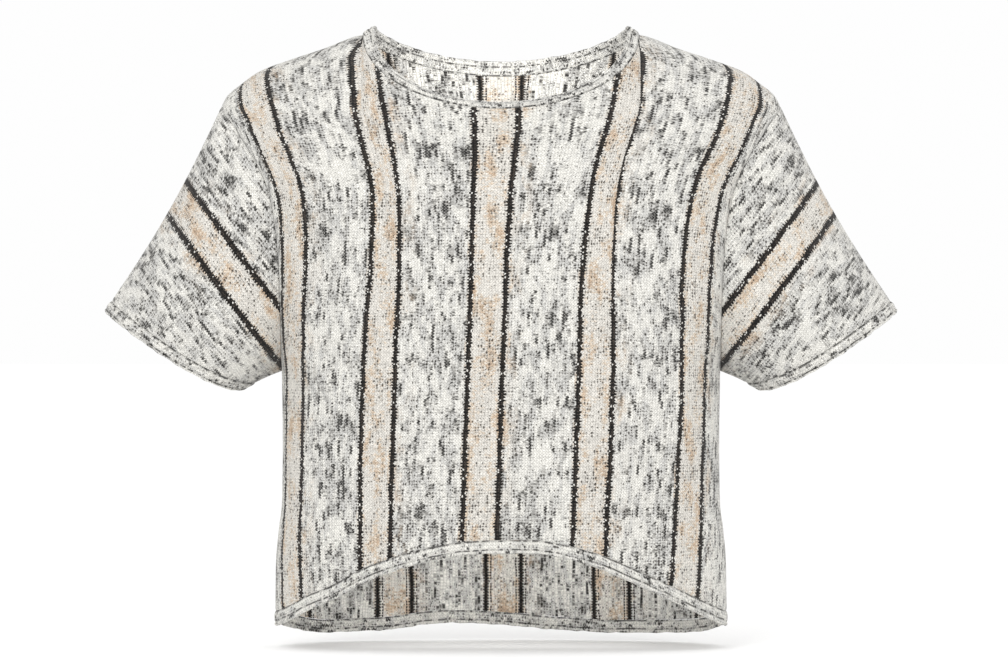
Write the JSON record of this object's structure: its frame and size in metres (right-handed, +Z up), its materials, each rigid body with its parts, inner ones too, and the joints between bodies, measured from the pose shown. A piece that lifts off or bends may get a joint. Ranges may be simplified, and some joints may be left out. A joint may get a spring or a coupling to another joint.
{
  "type": "crew neck jumper",
  "caption": "Short-sleeved cropped jumper in striped melange knit, worn and hollow, with an arched front hem and narrow bands at neck, hem and cuffs.",
  "frame": {"origin": "the wearer_shoulders mount: the middle plane of the body, midway between the shoulders and level with the cloth beside the neckband", "axes": "+X towards the right of the picture, across the sleeves; -Y is the front; +Z up"},
  "size_m": [0.6586, 0.2, 0.5099],
  "materials": {
    "striped_knit": "soft matte slub knit, off-white with grey and tan flecks and paired black stripes",
    "band_knit": "soft matte grey and off-white melange knit"
  },
  "bodies": {
    "root": {"front_panel": "striped_knit", "back_panel": "striped_knit", "sleeve_left": "striped_knit", "sleeve_right": "striped_knit", "neckband": "band_knit", "front_hem_band": "band_knit", "back_hem_band": "band_knit", "cuff_left": "band_knit", "cuff_right": "band_knit"}
  },
  "joints": []
}
